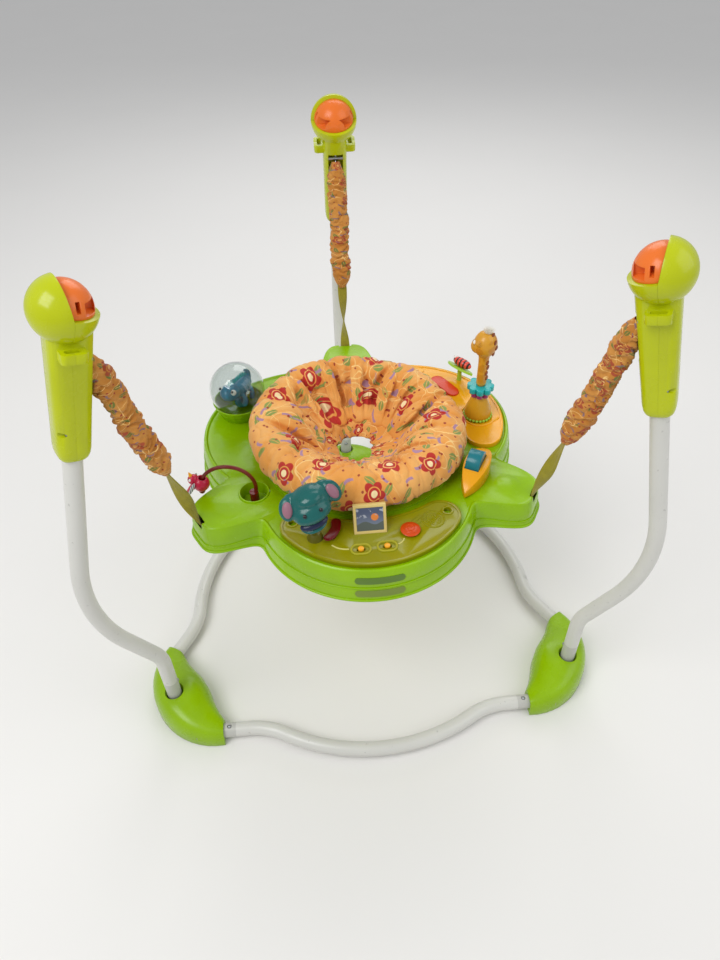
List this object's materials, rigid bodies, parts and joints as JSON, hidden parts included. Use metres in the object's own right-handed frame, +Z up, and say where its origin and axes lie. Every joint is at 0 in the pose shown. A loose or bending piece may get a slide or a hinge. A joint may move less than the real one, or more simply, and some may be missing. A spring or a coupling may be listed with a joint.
{
  "type": "baby jumper",
  "caption": "Free-standing baby jumper: tripod tube frame, toy tray hung on sprung straps, and a padded fabric seat that turns.",
  "frame": {"origin": "on the floor, at the middle of the footprint's bounding box", "axes": "+Z up; +Y towards the back post; +X to the right for someone facing the front lobe of the tray"},
  "size_m": [0.8592, 0.8365, 0.8515],
  "materials": {
    "lime_plastic": "smooth satin moulding",
    "green_plastic": "smooth satin moulding",
    "white_tube": "powder-coated, satin",
    "stub_tube": "powder-coated, satin",
    "foot_rubber": "matt",
    "steel": "bright zinc",
    "orange_plastic": "smooth satin moulding",
    "print_fabric": "printed woven cloth",
    "strap_web": "woven webbing",
    "olive_panel": "glossy",
    "grey_plastic": "matt moulding",
    "picture_print": "printed card under a clear film",
    "round_orange": "glossy",
    "dark_red": "glossy",
    "amber": "glossy",
    "side_yellow": "glossy",
    "capsule_red": "glossy",
    "navy": "glossy",
    "elephant_teal": "glossy",
    "clear": "clear moulded plastic",
    "lizard_blue": "glossy",
    "maroon": "glossy",
    "crimson": "glossy",
    "ochre": "glossy",
    "ring_purple": "glossy",
    "ring_teal": "glossy",
    "leaf_green": "glossy",
    "bug_red": "glossy",
    "pod_yellow": "glossy",
    "roller_blue": "glossy"
  },
  "bodies": {
    "frame": {"foot_left": "green_plastic", "foot_right": "green_plastic", "foot_back": "green_plastic", "foot_pads": "foot_rubber", "base_tube_front": "white_tube", "base_tube_left": "white_tube", "base_tube_right": "white_tube", "stub_tubes": "stub_tube", "leg_tube_left": "white_tube", "leg_tube_right": "white_tube", "leg_tube_back": "white_tube", "head_outer_left": "lime_plastic", "head_outer_right": "lime_plastic", "head_outer_back": "lime_plastic", "head_inner_left": "lime_plastic", "head_inner_right": "lime_plastic", "head_inner_back": "lime_plastic", "head_inserts": "orange_plastic", "head_screws": "steel", "hanger_pins": "steel", "springs": "steel", "spring_covers": "print_fabric"},
    "tray": {"straps": "strap_web", "strap_anchors": "steel", "tray_top": "green_plastic", "tray_bottom": "green_plastic", "tray_screws": "steel", "front_panel": "olive_panel", "sound_box": "grey_plastic", "picture_card": "picture_print", "side_panel": "side_yellow", "elephant_stem": "navy", "bubble_cup": "green_plastic", "toy_cup": "green_plastic", "arch_wire": "maroon", "giraffe": "ochre", "bug_leaf": "leaf_green", "striped_bug": "bug_red", "roller_pod": "pod_yellow"},
    "seat": {"seat_ring": "green_plastic", "seat_retainer": "green_plastic", "seat_pad": "print_fabric", "seat_sling": "print_fabric"},
    "bubble": {"bubble": "clear", "lizard": "lizard_blue"},
    "leg_button_left": {"leg_button_left": "steel"},
    "leg_button_right": {"leg_button_right": "steel"},
    "leg_button_back": {"leg_button_back": "steel"},
    "base_button_left": {"base_button_left": "steel"},
    "base_button_right": {"base_button_right": "steel"},
    "round_button": {"round_button": "round_orange"},
    "bean_button": {"bean_button": "dark_red"},
    "capsule_button": {"capsule_button": "capsule_red"},
    "switch_left": {"switch_left": "amber"},
    "switch_right": {"switch_right": "amber"},
    "elephant_head": {"elephant_head": "elephant_teal"},
    "bird_bead": {"bird_bead": "crimson"},
    "flower_ring_low": {"flower_ring_low": "ring_purple"},
    "flower_ring_high": {"flower_ring_high": "ring_teal"},
    "roller": {"roller": "roller_blue"}
  },
  "joints": [
    {"name": "bounce", "type": "slide", "parent": "frame", "child": "tray", "axis": [0, 0, 1], "range_m": [-0.12, 0.03], "stiffness_N_per_m": 900, "springref_m": 0.04808, "deforming": ["springs", "spring_covers"]},
    {"name": "seat_turn", "type": "hinge", "parent": "tray", "child": "seat", "pos_m": [0, -0.07592, 0.42], "axis": [0, 0, 1], "continuous": true},
    {"name": "leg_button_back_press", "type": "slide", "parent": "frame", "child": "leg_button_back", "axis": [0, 1, 0], "range_m": [0, 0.0025], "stiffness_N_per_m": 1500},
    {"name": "leg_button_left_press", "type": "slide", "parent": "frame", "child": "leg_button_left", "axis": [-0.866, -0.5, 0], "range_m": [0, 0.0025], "stiffness_N_per_m": 1500},
    {"name": "leg_button_right_press", "type": "slide", "parent": "frame", "child": "leg_button_right", "axis": [0.866, -0.5, 0], "range_m": [0, 0.0025], "stiffness_N_per_m": 1500},
    {"name": "base_button_left_press", "type": "slide", "parent": "frame", "child": "base_button_left", "axis": [0, 0, -1], "range_m": [0, 0.0025], "stiffness_N_per_m": 1500},
    {"name": "base_button_right_press", "type": "slide", "parent": "frame", "child": "base_button_right", "axis": [0, 0, -1], "range_m": [0, 0.0025], "stiffness_N_per_m": 1500},
    {"name": "round_button_press", "type": "slide", "parent": "tray", "child": "round_button", "axis": [0, 0, -1], "range_m": [0, 0.0025], "stiffness_N_per_m": 500},
    {"name": "bean_button_press", "type": "slide", "parent": "tray", "child": "bean_button", "axis": [0, 0, -1], "range_m": [0, 0.0025], "stiffness_N_per_m": 500},
    {"name": "capsule_button_press", "type": "slide", "parent": "tray", "child": "capsule_button", "axis": [0, 0, -1], "range_m": [0, 0.0025], "stiffness_N_per_m": 500},
    {"name": "switch_left_slide", "type": "slide", "parent": "tray", "child": "switch_left", "axis": [1, 0, 0], "range_m": [-0.004, 0.004]},
    {"name": "switch_right_slide", "type": "slide", "parent": "tray", "child": "switch_right", "axis": [1, 0, 0], "range_m": [-0.004, 0.004]},
    {"name": "elephant_rock", "type": "hinge", "parent": "tray", "child": "elephant_head", "pos_m": [-0.084, -0.27992, 0.492], "axis": [1, 0, 0], "range_deg": [-12, 12], "stiffness_Nm_per_rad": 0.4},
    {"name": "bubble_spin", "type": "hinge", "parent": "tray", "child": "bubble", "pos_m": [-0.19919, 0.03908, 0.47], "axis": [0, 0, 1], "continuous": true},
    {"name": "bead_slide", "type": "hinge", "parent": "tray", "child": "bird_bead", "pos_m": [-0.21086, -0.17263, 0.44], "axis": [0.0872, 0.9962, 0], "range_deg": [0, 95]},
    {"name": "flower_ring_low_spin", "type": "hinge", "parent": "tray", "child": "flower_ring_low", "pos_m": [0.20853, -0.02712, 0.48], "axis": [0, 0, 1], "continuous": true},
    {"name": "flower_ring_high_spin", "type": "hinge", "parent": "tray", "child": "flower_ring_high", "pos_m": [0.20853, -0.02712, 0.48], "axis": [0, 0, 1], "continuous": true},
    {"name": "roller_spin", "type": "hinge", "parent": "tray", "child": "roller", "pos_m": [0.17407, -0.17642, 0.4541], "axis": [0.866, -0.5, 0], "continuous": true}
  ]
}
